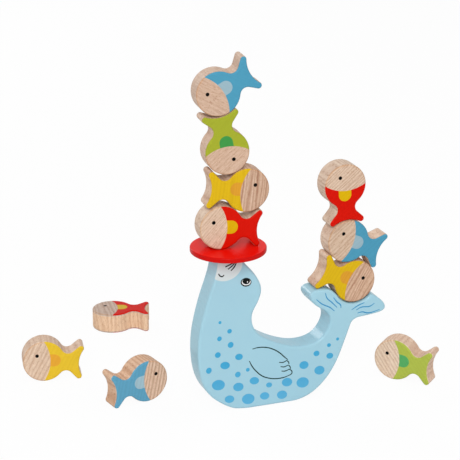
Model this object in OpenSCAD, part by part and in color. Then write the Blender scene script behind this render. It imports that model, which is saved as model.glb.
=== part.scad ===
// Seal balance game: a flat wooden seal that carries one stack of fish on the disc on its nose
// and another stack in the cup of its tail. Four more fish lie and stand loose beside it.
// The origin is the middle of the flat base, +Z is up and the printed face looks along -Y.

/* [Seal] */
// Thickness of the seal's board
seal_thick = 22; // [16:0.5:30]
// Height of the flat top of the nose above the base
nose_height = 141; // [125:1:160]
// Distance of the disc's axis from the middle of the base, to the left
nose_setback = 34.5; // [30:0.5:40]
// Length of the flat base
base_flat = 36; // [28:1:44]
// Guide line of the chest, to the left of the middle of the base
chest_reach = 67; // [60:1:74]
// Guide line of the back of the head, to the left of the middle of the base
head_back = 8; // [4:0.5:12]
// Guide line of the hollow of the neck, to the left of the middle of the base
neck_hollow = 18.5; // [15:0.5:24]
// Guide line of the lowest point of the arch between neck and tail
arch_height = 49; // [42:1:56]
// Inner side of the tail's stem, to the right of the middle of the base
stem_inside = 55; // [51:0.5:60]
// Width of the tail's stem
stem_width = 17; // [13:0.5:22]

/* [Tail fluke] */
// Middle of the cup in the tail, to the right of the middle of the base
cup_x = 77.5; // [72:0.5:84]
// Height of the lowest point of the cup
cup_floor = 82.2; // [78:0.1:90]
// Extra radius of the cup over the body of a fish
cup_play = 0.7; // [0.4:0.1:3]
// Half opening of the cup on its left, from straight down
cup_left_angle = 50; // [35:1:60]
// Half opening of the cup on its right, from straight down
cup_right_angle = 46; // [35:1:60]
// Reach of the left lobe past the cup's rim
left_lobe = 27; // [20:0.5:34]
// Reach of the right lobe past the cup's rim
right_lobe = 13.5; // [9:0.5:20]

/* [Nose disc] */
// Diameter of the disc
disc_d = 64; // [50:1:76]
// Thickness of the disc
disc_thick = 4.5; // [3.6:0.1:8]
// Radius of the disc's round rim
disc_rim_r = 1.1; // [0.5:0.1:1.7]
// Depth of the blind bore under the disc
disc_bore_depth = 2.8; // [2:0.1:3.2]
// Diameter of the dowel peg
peg_d = 8; // [5:0.5:10]
// Length of the peg that is glued in the nose
peg_seat = 18; // [10:1:26]
// Running clearance between peg and bore, on the radius
peg_clearance = 0.05; // [0.02:0.01:0.1]
// Space left past each end of the peg
peg_end_gap = 0.3; // [0.2:0.1:0.6]

/* [Fish] */
// Thickness of the fish's board
fish_thick = 18.5; // [12:0.5:24]
// Diameter of the round body
body_d = 37.4; // [32:0.2:42]
// Height of the waist between body and tail
waist_h = 16.4; // [12:0.2:19]
// Radius of the hollow at the waist
waist_r = 6; // [4:0.5:9]
// Distance from the waist to the middles of the tail's tips
tail_run = 11.3; // [9:0.1:14]
// Height over both tips of the tail
tail_span = 31.3; // [28:0.1:34]
// Radius of each tip of the tail
tip_r = 2.7; // [2:0.1:3.5]
// Depth of the hollow in the end of the tail
tail_notch = 3.5; // [2:0.1:5]

/* [Stack on the disc] */
// Height left between a piece and the one that it rests on
stack_gap = 0.25; // [0.2:0.05:0.6]
// Turn of the whole stack about the disc's axis
disc_stack_turn = -4.8; // [-15:0.1:15]
// Red fish: middle of the body along the disc
disc_red_x = -8; // [-12:0.5:-6]
// Yellow fish: middle of the body along the disc
disc_yellow_x = 14; // [10:0.5:16]
// Yellow fish: direction of the nose
disc_yellow_heading = -5; // [-10:0.5:2]
// Green fish: middle of the body along the disc
disc_green_x = -3; // [-6:0.5:0]
// Green fish: direction of the nose
disc_green_heading = -79; // [-95:1:-70]
// Blue fish: middle of the body along the disc
disc_blue_x = -10.5; // [-14:0.5:-10]
// Blue fish: direction of the nose
disc_blue_heading = 210; // [195:1:220]

/* [Stack on the tail] */
// Yellow fish: direction of the nose
tail_yellow_heading = -23; // [-26:0.5:-16]
// Blue fish: middle of the body, from the middle of the cup
tail_blue_x = -6.7; // [-9:0.1:-5]
// Blue fish: direction of the nose
tail_blue_heading = 157; // [152:0.5:162]
// Red fish: middle of the body, from the middle of the cup
tail_red_x = -10.5; // [-13:0.5:-8]
// Red fish: direction of the nose
tail_red_heading = 94; // [86:1:100]

/* [Loose fish] */
// Lying red fish: middle of the body across
loose_red_x = -72; // [-100:1:-40]
// Lying red fish: middle of the body behind the seal
loose_red_y = 209; // [150:1:240]
// Lying red fish: turn about the vertical
loose_red_turn = -19; // [-60:1:60]
// Standing yellow fish: middle of the body across
loose_yellow_x = -165; // [-190:1:-150]
// Standing yellow fish: middle of the body behind the seal
loose_yellow_y = 115; // [90:1:140]
// Standing yellow fish: turn about the vertical
loose_yellow_turn = -11.2; // [-60:0.2:60]
// Standing blue fish: middle of the body across
loose_blue_x = -96.5; // [-110:0.5:-92]
// Standing blue fish: middle of the body behind the seal
loose_blue_y = 42; // [25:1:60]
// Standing blue fish: turn about the vertical
loose_blue_turn = 10; // [-20:0.2:60]
// Standing green fish: middle of the body across
loose_green_x = 128; // [120:1:150]
// Standing green fish: middle of the body behind the seal
loose_green_y = 7; // [-20:1:40]
// Standing green fish: turn about the vertical
loose_green_turn = -46.6; // [-60:0.2:20]

/* [Hidden] */

PALE_BLUE = [0.60, 0.83, 0.93];
BEECH = [0.86, 0.72, 0.58];
RED = [0.84, 0.07, 0.05];
YELLOW = [0.90, 0.72, 0.08];
GREEN = [0.52, 0.75, 0.12];
BLUE = [0.27, 0.61, 0.80];

// Steps in each curve of the seal's outline, and in each arc of a fish
CURVE_STEPS = 7;
BODY_STEPS = 24;
ARC_STEPS = 9;
CUP_STEPS = 12;
$fn = 96;

// How far a cut runs past the face that it opens
CUT_PAST = 1;
// Largest waist hollow as a share of the one that would touch the tail's tip
WAIST_SHARE = 0.98;

// Points on an arc about c, without its first point when the arc before ends there
function arc(c, r, from, to, steps, skip = 0) =
  [for (i = [skip:steps]) let (a = from + (to - from) * i / steps) c + r * [cos(a), sin(a)]];

function middle(a, b) = (a + b) / 2;
function cross2(a, b) = a.x * b.y - a.y * b.x;

// One curve from a to b, drawn towards the guide point g, without its end point
function curve(a, g, b, steps) =
  [for (i = [0:steps - 1]) let (t = i / steps) (1 - t)^2 * a + 2 * t * (1 - t) * g + t^2 * b];

// A smooth line along a guide: it touches the middle of each side and ends at the guide's own ends
function smooth(guide) =
  let (last = len(guide) - 1)
  concat(
    [for (i = [1:last - 1])
      let (a = i == 1 ? guide[0] : middle(guide[i - 1], guide[i]))
      let (b = i == last - 1 ? guide[last] : middle(guide[i], guide[i + 1]))
      each curve(a, guide[i], b, CURVE_STEPS)],
    [guide[last]]);

// The outline without the points that lie on a straight run
function without_straight(p) =
  [for (i = [0:len(p) - 1])
    let (before = p[(i + len(p) - 1) % len(p)], after = p[(i + 1) % len(p)])
    if (abs(cross2(p[i] - before, after - p[i])) > 1e-6) p[i]];

// An outline turned by an angle and moved to a place
function placed(outline, angle, place) =
  [for (p = outline)
    place + [p.x * cos(angle) - p.y * sin(angle), p.x * sin(angle) + p.y * cos(angle)]];

// Heights at which an outline crosses the upright line at x
function crossings(outline, x) =
  [for (i = [0:len(outline) - 1])
    let (a = outline[i], b = outline[(i + 1) % len(outline)])
    if (a.x != b.x && (a.x - x) * (b.x - x) <= 0) a.y + (b.y - a.y) * (x - a.x) / (b.x - a.x)];

// Depth of an outline's lowest point
function depth(outline) = -min([for (p = outline) p.y]);

// How far the upper outline has to be raised until it rests on top of the lower one
function lift(lower, upper) =
  max(concat(
    [for (p = upper) let (c = crossings(lower, p.x)) if (len(c) > 0) max(c) - p.y],
    [for (p = lower) let (c = crossings(upper, p.x)) if (len(c) > 0) p.y - min(c)]));

// Fish: the nose points along +X from the middle of the round body
body_r = body_d / 2;
tip_z = tail_span / 2 - tip_r;
tip_rise = tip_z - waist_h / 2;
waist_limit = (tail_run^2 + tip_rise^2 - tip_r^2) / (2 * (tip_rise + tip_r));
waist_fillet = min(waist_r, WAIST_SHARE * waist_limit);
waist_z = waist_h / 2 + waist_fillet;
waist_middle = [-sqrt((body_r + waist_fillet)^2 - waist_z^2), waist_z];
tip_middle = [waist_middle.x - tail_run, tip_z];
tip_step = tip_middle - waist_middle;
flank_angle = atan2(tip_step.y, tip_step.x) + 360
  - acos(-(waist_fillet + tip_r) / norm(tip_step));
flank_normal = flank_angle - 360 * floor(flank_angle / 360);
notch_r = ((tip_r - tail_notch)^2 + tip_z^2 - tip_r^2) / (2 * tail_notch);
notch_middle = [tip_middle.x - tip_r + tail_notch - notch_r, 0];
neck_angle = atan2(waist_middle.y, waist_middle.x);
notch_angle = atan2(tip_middle.y, tip_middle.x - notch_middle.x);

UPPER_HALF = concat(
  arc([0, 0], body_r, 0, neck_angle, BODY_STEPS),
  arc(waist_middle, waist_fillet, neck_angle - 180, flank_normal - 180, ARC_STEPS, 1),
  arc(tip_middle, tip_r, flank_normal, notch_angle + 180, ARC_STEPS),
  arc(notch_middle, notch_r, notch_angle, 0, ARC_STEPS, 1));
FISH = concat(UPPER_HALF, [for (i = [len(UPPER_HALF) - 2:-1:1]) [UPPER_HALF[i].x, -UPPER_HALF[i].y]]);

// Nose-up angle of a fish that stands on its belly and the lower tip of its tail
stand_angle = asin((body_r - tip_r) / norm(tip_middle)) - atan2(tip_z, -tip_middle.x);
HEAD_LEFT = 180 - stand_angle;
HEAD_RIGHT = stand_angle;

// Cup and lobes of the tail
cup_r = body_r + cup_play;
cup_middle = [cup_x, cup_floor + cup_r];
left_rim = cup_middle + cup_r * [-sin(cup_left_angle), -cos(cup_left_angle)];
right_rim = cup_middle + cup_r * [sin(cup_right_angle), -cos(cup_right_angle)];

// Guide of the seal's outline, from the left rim of the cup round to the right rim
nose_x = -nose_setback;
LEFT_LOBE_GUIDE = [
  left_rim,
  left_rim + [-5, 8],
  left_rim + [11 - left_lobe, 10.6],
  left_rim + [1.2 - left_lobe, 9.2],
  left_rim + [-1.4 - left_lobe, 4.6],
  left_rim + [4.6 - left_lobe, -4],
];
ARCH_GUIDE = [
  [stem_inside - 1.5, arch_height + 28],
  [stem_inside, arch_height + 17],
  [stem_inside - 9.5, arch_height + 3],
  [stem_inside - 29, arch_height],
  [4, arch_height + 7.6],
  [-neck_hollow + 4.5, arch_height + 19],
];
HEAD_GUIDE = [
  [-neck_hollow, nose_height - 57],
  [-head_back - 2.2, nose_height - 43.5],
  [0.3 - head_back, nose_height - 32],
  [-head_back - 7, nose_height - 18.4],
  [nose_x + 8.5, nose_height - 7],
  [nose_x + 9.5, nose_height],
  [nose_x - 1, nose_height],
  [nose_x - 12.5, nose_height],
];
CHEST_GUIDE = [
  [nose_x - 14.5, nose_height - 17],
  [7.6 - chest_reach, nose_height - 45],
  [-chest_reach, 60],
  [5.6 - chest_reach, 21.5],
  [-base_flat / 2 - 19, 2],
];
BASE_GUIDE = [
  [-base_flat / 2 - 4, 0],
  [-base_flat / 2 + 4, 0],
  [base_flat / 2 - 9, 0],
  [base_flat / 2 + 11, 0],
];
STEM_GUIDE = [
  [stem_inside - 9.6, 8.6],
  [stem_inside + 5.4, 26.6],
  [stem_inside + stem_width, arch_height + 9],
  [stem_inside + stem_width + 3.6, right_rim.y - 19.5],
];
RIGHT_LOBE_GUIDE = [
  right_rim + [0, -18.6],
  right_rim + [right_lobe + 1.2, -16.5],
  right_rim + [right_lobe + 1.2, -9],
  right_rim + [1.5, 1.5],
  right_rim,
];
SEAL = without_straight(concat(
  smooth(concat(
    LEFT_LOBE_GUIDE, ARCH_GUIDE, HEAD_GUIDE, CHEST_GUIDE, BASE_GUIDE, STEM_GUIDE, RIGHT_LOBE_GUIDE)),
  [for (i = [1:CUP_STEPS - 1])
    let (a = cup_right_angle - (cup_right_angle + cup_left_angle) * i / CUP_STEPS)
    cup_middle + cup_r * [sin(a), -cos(a)]]));

// Places of the stacked fish, as [along, height, heading] of the middle of the body
disc_top = nose_height + disc_thick;
DISC_SIDE = [
  [-disc_d / 2, nose_height],
  [disc_d / 2, nose_height],
  [disc_d / 2, disc_top],
  [-disc_d / 2, disc_top],
];

function seat(below, along, heading) =
  [along, lift(below, placed(FISH, heading, [along, 0])) + stack_gap, heading];
function side_of(place) = placed(FISH, place[2], [place[0], place[1]]);

disc_red = seat(DISC_SIDE, disc_red_x, HEAD_LEFT);
disc_yellow = seat(side_of(disc_red), disc_yellow_x, disc_yellow_heading);
disc_green = seat(side_of(disc_yellow), disc_green_x, disc_green_heading);
disc_blue = seat(side_of(disc_green), disc_blue_x, disc_blue_heading);

tail_yellow = seat(SEAL, cup_x, tail_yellow_heading);
tail_blue = seat(side_of(tail_yellow), cup_x + tail_blue_x, tail_blue_heading);
tail_red = seat(side_of(tail_blue), cup_x + tail_red_x, tail_red_heading);

// A board cut to an outline that stands in the XZ plane, its middle on the plane
module standing_board(outline, thick) {
  rotate([90, 0, 0])
    linear_extrude(height = thick, center = true)
      polygon(outline);
}

module fish(heading) {
  standing_board(placed(FISH, heading, [0, 0]), fish_thick);
}

module stacked_fish(place) {
  translate([place[0], 0, place[1]])
    fish(place[2]);
}

module on_disc() {
  translate([nose_x, 0, 0])
    rotate([0, 0, disc_stack_turn])
      children();
}

// A loose fish that stands on its belly and tail
module standing_fish(x, y, turn, heading) {
  translate([x, y, depth(placed(FISH, heading, [0, 0]))])
    rotate([0, 0, turn])
      fish(heading);
}

module seal_body() {
  color(PALE_BLUE)
    difference() {
      standing_board(SEAL, seal_thick);
      translate([nose_x, 0, nose_height - peg_seat - peg_end_gap])
        cylinder(d = peg_d, h = peg_seat + peg_end_gap + CUT_PAST);
    }
}

module disc_peg() {
  color(BEECH)
    translate([nose_x, 0, nose_height - peg_seat])
      cylinder(d = peg_d, h = peg_seat + disc_bore_depth - peg_end_gap);
}

module nose_disc() {
  color(RED)
    translate([nose_x, 0, nose_height])
      difference() {
        rotate_extrude() {
          square([disc_d / 2 - disc_rim_r, disc_thick]);
          translate([0, disc_rim_r])
            square([disc_d / 2, disc_thick - 2 * disc_rim_r]);
          for (z = [disc_rim_r, disc_thick - disc_rim_r])
            translate([disc_d / 2 - disc_rim_r, z])
              circle(r = disc_rim_r);
        }
        translate([0, 0, -CUT_PAST])
          cylinder(r = peg_d / 2 + peg_clearance, h = disc_bore_depth + CUT_PAST);
      }
}

module disc_fish_red() {
  color(RED) on_disc() stacked_fish(disc_red);
}

module disc_fish_yellow() {
  color(YELLOW) on_disc() stacked_fish(disc_yellow);
}

module disc_fish_green() {
  color(GREEN) on_disc() stacked_fish(disc_green);
}

module disc_fish_blue() {
  color(BLUE) on_disc() stacked_fish(disc_blue);
}

module tail_fish_yellow() {
  color(YELLOW) stacked_fish(tail_yellow);
}

module tail_fish_blue() {
  color(BLUE) stacked_fish(tail_blue);
}

module tail_fish_red() {
  color(RED) stacked_fish(tail_red);
}

// The red fish lies flat, face up
module loose_fish_red() {
  color(RED)
    translate([loose_red_x, loose_red_y, fish_thick / 2])
      rotate([0, 0, loose_red_turn + 180])
        linear_extrude(height = fish_thick, center = true)
          polygon(FISH);
}

module loose_fish_yellow() {
  color(YELLOW) standing_fish(loose_yellow_x, loose_yellow_y, loose_yellow_turn, HEAD_LEFT);
}

module loose_fish_blue() {
  color(BLUE) standing_fish(loose_blue_x, loose_blue_y, loose_blue_turn, HEAD_RIGHT);
}

module loose_fish_green() {
  color(GREEN) standing_fish(loose_green_x, loose_green_y, loose_green_turn, HEAD_LEFT);
}

seal_body();
disc_peg();
nose_disc();
disc_fish_red();
disc_fish_yellow();
disc_fish_green();
disc_fish_blue();
tail_fish_yellow();
tail_fish_blue();
tail_fish_red();
loose_fish_red();
loose_fish_yellow();
loose_fish_blue();
loose_fish_green();
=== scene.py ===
"""Looks of the seal balance game: a flat wooden seal that carries two stacks of flat wooden fish.

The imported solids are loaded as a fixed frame. The boards of the seal and of the fish are copies of
their solids with rounded edges. The seal's print lies on both faces as thin films of ink, and the paint
and the beech of each fish follow the fish's own axes, which are read from its solid. The frame is in
metres, and the sizes written here are in millimetres.
"""

import logging
import math
from collections.abc import Iterable, Mapping, Sequence
from dataclasses import dataclass
from enum import Enum
from typing import Any, Union

import bmesh
import bpy
import numpy as np
from mathutils import Matrix, Vector


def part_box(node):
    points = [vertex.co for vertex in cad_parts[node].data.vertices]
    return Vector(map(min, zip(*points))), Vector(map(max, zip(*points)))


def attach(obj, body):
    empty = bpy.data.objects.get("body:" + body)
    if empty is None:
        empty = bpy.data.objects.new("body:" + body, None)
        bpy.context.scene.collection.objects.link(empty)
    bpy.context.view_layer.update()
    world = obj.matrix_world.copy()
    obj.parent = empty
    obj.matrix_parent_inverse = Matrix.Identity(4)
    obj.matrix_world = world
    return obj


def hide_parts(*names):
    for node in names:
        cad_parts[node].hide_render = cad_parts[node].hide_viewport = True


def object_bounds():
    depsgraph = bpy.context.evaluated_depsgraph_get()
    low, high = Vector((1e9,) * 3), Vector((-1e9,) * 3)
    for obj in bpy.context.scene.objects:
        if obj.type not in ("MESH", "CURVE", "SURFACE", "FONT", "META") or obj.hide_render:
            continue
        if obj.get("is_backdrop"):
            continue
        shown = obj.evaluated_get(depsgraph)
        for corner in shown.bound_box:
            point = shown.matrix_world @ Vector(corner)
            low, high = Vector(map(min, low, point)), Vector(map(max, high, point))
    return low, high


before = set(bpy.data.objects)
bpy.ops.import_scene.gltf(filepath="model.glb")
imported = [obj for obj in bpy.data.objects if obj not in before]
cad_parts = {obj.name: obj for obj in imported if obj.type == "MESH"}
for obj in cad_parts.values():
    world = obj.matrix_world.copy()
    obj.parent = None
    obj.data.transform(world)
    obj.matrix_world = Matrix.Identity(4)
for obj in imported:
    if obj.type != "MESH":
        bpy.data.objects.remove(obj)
CAD_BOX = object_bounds()

MM = 0.001
LOG = logging.getLogger("seal_balance_game")
TOWARDS_VIEWER = Vector((-0.34, -0.88, 0.33))
WHITE = (1.0, 1.0, 1.0, 1.0)
WELD = 0.002 * MM
SAME_PLANE = 0.01 * MM
SAME_RING = 0.1 * MM
FLAT_ANGLE = math.radians(0.02)
SHARP_ANGLE = math.radians(38)
ROUND_STEPS = 6

Number = Union["Value", float]
Point = tuple[float, float]
Place = tuple[float, float, float]
Rgba = tuple[float, float, float, float]


class Facing(Enum):
    """Side to which the nose of a fish points while its back is up and its printed face is in front."""

    LEFT = -1
    RIGHT = 1


class Side(Enum):
    """Face of the seal's board, as the sign of its outward direction along Y."""

    FRONT = -1
    BACK = 1


@dataclass(frozen=True)
class Tone:
    """A colour as it looks on the object, in 8-bit display values."""

    red: int
    green: int
    blue: int

    def linear(self) -> Rgba:
        """Return the colour as the linear values that a shader takes."""
        shares = [channel / 255 for channel in (self.red, self.green, self.blue)]
        light = [s / 12.92 if s <= 0.04045 else ((s + 0.055) / 1.055) ** 2.4 for s in shares]
        return (light[0], light[1], light[2], 1.0)


class Value:
    """A number that varies over a surface: arithmetic on it adds Math nodes to its graph."""

    def __init__(self, graph: "Graph", socket: bpy.types.NodeSocket) -> None:
        """Keep the graph and the socket that gives the number."""
        self.graph = graph
        self.socket = socket

    def __add__(self, other: Number) -> "Value":
        """Return the sum."""
        return self.graph.maths("ADD", self, other)

    def __radd__(self, other: Number) -> "Value":
        """Return the sum with a plain number in front."""
        return self.graph.maths("ADD", other, self)

    def __sub__(self, other: Number) -> "Value":
        """Return the difference."""
        return self.graph.maths("SUBTRACT", self, other)

    def __rsub__(self, other: Number) -> "Value":
        """Return a plain number less this value."""
        return self.graph.maths("SUBTRACT", other, self)

    def __mul__(self, other: Number) -> "Value":
        """Return the product."""
        return self.graph.maths("MULTIPLY", self, other)

    def __rmul__(self, other: Number) -> "Value":
        """Return the product with a plain number in front."""
        return self.graph.maths("MULTIPLY", other, self)

    def __truediv__(self, other: Number) -> "Value":
        """Return the quotient."""
        return self.graph.maths("DIVIDE", self, other)

    def __abs__(self) -> "Value":
        """Return the size of the number without its sign."""
        return self.graph.maths("ABSOLUTE", self)

    def lower_of(self, other: Number) -> "Value":
        """Return the lower of the two."""
        return self.graph.maths("MINIMUM", self, other)

    def higher_of(self, other: Number) -> "Value":
        """Return the higher of the two."""
        return self.graph.maths("MAXIMUM", self, other)

    def past(self, limit: Number, soft: float) -> "Value":
        """Return a mask of the places where the value is past a limit.

        Args:
            limit: The value at the middle of the mask's edge.
            soft: Width of the mask's edge, in the value's own unit.

        Returns:
            A value that goes from 0 to 1 across the limit.
        """
        return self.graph.maths("MULTIPLY_ADD", self - limit, 1 / soft, 0.5, clamp=True)


class Graph:
    """A material or world under construction, as a graph of shader nodes."""

    def __init__(self, holder: bpy.types.Material | bpy.types.World) -> None:
        """Start with an empty node tree.

        Args:
            holder: The material or world.
        """
        holder.use_nodes = True
        self.holder = holder
        self.tree = holder.node_tree
        self.tree.nodes.clear()

    @classmethod
    def of_material(cls, name: str) -> "Graph":
        """Return the graph of a new material."""
        return cls(bpy.data.materials.new(name))

    @property
    def place(self) -> bpy.types.NodeSocket:
        """The place on the surface, in Object coordinates."""
        return self.node("ShaderNodeTexCoord").outputs["Object"]

    def node(
        self,
        kind: str,
        settings: Mapping[str, Any] | None = None,
        sockets: Mapping[str | int, Any] | None = None,
    ) -> bpy.types.Node:
        """Add one node.

        Args:
            kind: The node's type.
            settings: Properties of the node, set first.
            sockets: Values, sockets or constants for its inputs, by name or number.

        Returns:
            The new node.
        """
        made = self.tree.nodes.new(kind)
        for name, setting in (settings or {}).items():
            setattr(made, name, setting)
        for key, entry in (sockets or {}).items():
            source = entry.socket if isinstance(entry, Value) else entry
            if isinstance(source, bpy.types.NodeSocket):
                self.tree.links.new(source, made.inputs[key])
            else:
                made.inputs[key].default_value = source
        return made

    def maths(self, operation: str, *operands: Number, clamp: bool = False) -> Value:
        """Add one Math node.

        Args:
            operation: The node's operation.
            operands: Its inputs, in order.
            clamp: Whether the result is kept between 0 and 1.

        Returns:
            The node's result.
        """
        settings = {"operation": operation, "use_clamp": clamp}
        made = self.node("ShaderNodeMath", settings, dict(enumerate(operands)))
        return Value(self, made.outputs[0])

    def distance(self, *parts: Number) -> Value:
        """Return the length of a vector that is given by its two or three parts."""
        vector = self.node("ShaderNodeCombineXYZ", None, dict(enumerate(parts)))
        made = self.node("ShaderNodeVectorMath", {"operation": "LENGTH"}, {0: vector.outputs[0]})
        return Value(self, made.outputs["Value"])

    def split(self, vector: bpy.types.NodeSocket) -> tuple[Value, Value, Value]:
        """Return the three parts of a vector."""
        made = self.node("ShaderNodeSeparateXYZ", None, {0: vector})
        return Value(self, made.outputs[0]), Value(self, made.outputs[1]), Value(self, made.outputs[2])

    def stretched(self, vector: bpy.types.NodeSocket, scale: Sequence[float]) -> bpy.types.NodeSocket:
        """Return a vector with each part multiplied by its own factor."""
        made = self.node("ShaderNodeVectorMath", {"operation": "MULTIPLY"}, {0: vector, 1: tuple(scale)})
        return made.outputs["Vector"]

    def place_in(self, unit: float) -> bpy.types.NodeSocket:
        """Return the place on the surface in units of so many millimetres."""
        return self.stretched(self.place, (1 / (unit * MM),) * 3)

    def in_axes(self, axes: Matrix) -> bpy.types.NodeSocket:
        """Return the place on the surface as seen in other axes.

        Args:
            axes: Matrix whose columns are the axes, with their origin.

        Returns:
            The place as a vector in millimetres.
        """
        sockets = {
            "Vector": self.place,
            "Location": axes.to_translation(),
            "Rotation": axes.to_euler("XYZ"),
            "Scale": (MM, MM, MM),
        }
        return self.node("ShaderNodeMapping", {"vector_type": "TEXTURE"}, sockets).outputs[0]

    def noise(self, vector: bpy.types.NodeSocket, detail: float = 2.0, roughness: float = 0.5) -> Value:
        """Return smooth noise over a vector whose unit is the size of one lump."""
        sockets = {"Vector": vector, "Scale": 1.0, "Detail": detail, "Roughness": roughness}
        return Value(self, self.node("ShaderNodeTexNoise", None, sockets).outputs[0])

    def layers(self, depth: Value) -> Value:
        """Return smooth noise that changes only with a depth, whose unit is the thickness of a layer."""
        sockets = {"W": depth, "Scale": 1.0, "Detail": 0.0}
        made = self.node("ShaderNodeTexNoise", {"noise_dimensions": "1D"}, sockets)
        return Value(self, made.outputs[0])

    def mix(self, factor: Number, first: Any, second: Any, blend: str = "MIX") -> bpy.types.NodeSocket:
        """Mix two colours.

        Args:
            factor: Share of the second colour.
            first: Socket or tone.
            second: Socket or tone.
            blend: How the second colour is laid over the first.

        Returns:
            The mixed colour.
        """
        ends = [end.linear() if isinstance(end, Tone) else end for end in (first, second)]
        settings = {"data_type": "RGBA", "blend_type": blend}
        return self.node("ShaderNodeMix", settings, {0: factor, 6: ends[0], 7: ends[1]}).outputs[2]

    def bump(self, height: Value, depth: float) -> bpy.types.NodeSocket:
        """Return the normal of a surface with a relief of the given depth in millimetres."""
        sockets = {"Strength": 1.0, "Distance": depth * MM, "Height": height}
        return self.node("ShaderNodeBump", None, sockets).outputs[0]

    def seen(self) -> Value:
        """Return 1 for what is seen, also in a mirror or through glass, and 0 for what only lights."""
        path = self.node("ShaderNodeLightPath")
        kinds = ("Camera", "Glossy", "Transmission")
        camera, glossy, through = (Value(self, path.outputs[f"Is {kind} Ray"]) for kind in kinds)
        return camera.higher_of(glossy).higher_of(through)

    def blend(self, share: Number, first: bpy.types.Node, second: bpy.types.Node) -> bpy.types.Node:
        """Return two shaders blended, with the share of the second."""
        sockets = {0: share, 1: first.outputs[0], 2: second.outputs[0]}
        return self.node("ShaderNodeMixShader", None, sockets)

    def close(self, shader: bpy.types.Node) -> Any:
        """Close the graph with its shader.

        Args:
            shader: The node of the shader.

        Returns:
            The finished material or world.
        """
        kind = "World" if isinstance(self.holder, bpy.types.World) else "Material"
        self.node(f"ShaderNodeOutput{kind}", None, {"Surface": shader.outputs[0]})
        return self.holder

    def finish(self, sockets: Mapping[str | int, Any]) -> bpy.types.Material:
        """Close the graph with one principled surface.

        Args:
            sockets: Inputs of the surface.

        Returns:
            The finished material.
        """
        return self.close(self.node("ShaderNodeBsdfPrincipled", None, sockets))


@dataclass(frozen=True)
class Grain:
    """How the grain lies in one board.

    Attributes:
        ground: Colour of the wood between the lines, on the flat faces; set per board, it holds the wood's
            own tone and painted light.
        wall: Colour of the wood between the lines, on the sawn walls; set per board, lighter than the faces
            on some boards and darker on others, it holds the wood's own tone and painted light and shade.
        lean: Angle of the lines from upright, in degrees.
        pitch: Distance from line to line, in millimetres.
        strength: How dark the lines are, up to 1.
        broken: How much the lines wander, come and go, from 0 for straight lines that run through to 1.
        streaks: How much darker the broad streaks are, up to 1.
    """

    ground: Tone
    wall: Tone
    lean: float
    pitch: float
    strength: float
    broken: float
    streaks: float = 0.2


@dataclass(frozen=True)
class Figure:
    """Noise in the wood, drawn out along the grain.

    Attributes:
        lumps: Number of lumps in a millimetre across the layers, along the lines and through the board.
        detail: Number of finer layers of noise on top.
        roughness: Strength of a finer layer beside the one before it.
        limit: Noise at the middle of the mask's edge.
        soft: Width of the mask's edge.
    """

    lumps: Place
    detail: float = 2.0
    roughness: float = 0.5
    limit: float = 0.5
    soft: float = 0.3

    def noise(self, graph: Graph, place: bpy.types.NodeSocket) -> Value:
        """Return the noise at a place in the board."""
        return graph.noise(graph.stretched(place, self.lumps), self.detail, self.roughness)

    def mask(self, graph: Graph, place: bpy.types.NodeSocket) -> Value:
        """Return a mask of the places where the noise is past its limit."""
        return self.noise(graph, place).past(self.limit, self.soft)


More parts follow.
